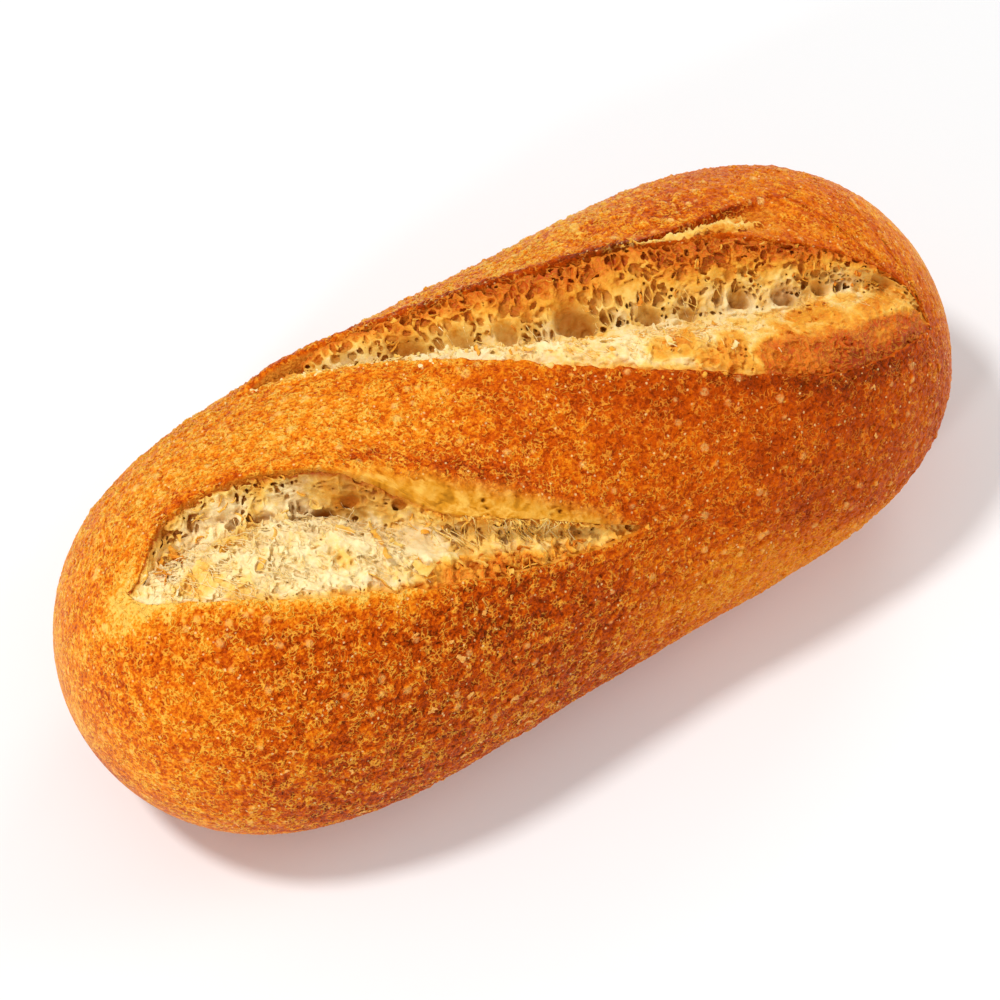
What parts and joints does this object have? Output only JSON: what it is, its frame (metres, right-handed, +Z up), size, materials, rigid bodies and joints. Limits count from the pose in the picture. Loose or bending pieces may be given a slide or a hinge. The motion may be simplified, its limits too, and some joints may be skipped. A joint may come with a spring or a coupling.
{
  "type": "mini baguette",
  "caption": "Short, fat crusty bread loaf with blunt round ends and a flat base; slanting cuts in its crown have burst open and show torn crumb.",
  "frame": {"origin": "middle of the loaf's flat base", "axes": "+X along the loaf, +Y across it towards the side that faces away in the picture, +Z up from the base"},
  "size_m": [0.16, 0.0711, 0.0594],
  "materials": {
    "crust": "dry baked crust with a faint sheen"
  },
  "bodies": {
    "root": {"loaf": "crust"}
  },
  "joints": []
}
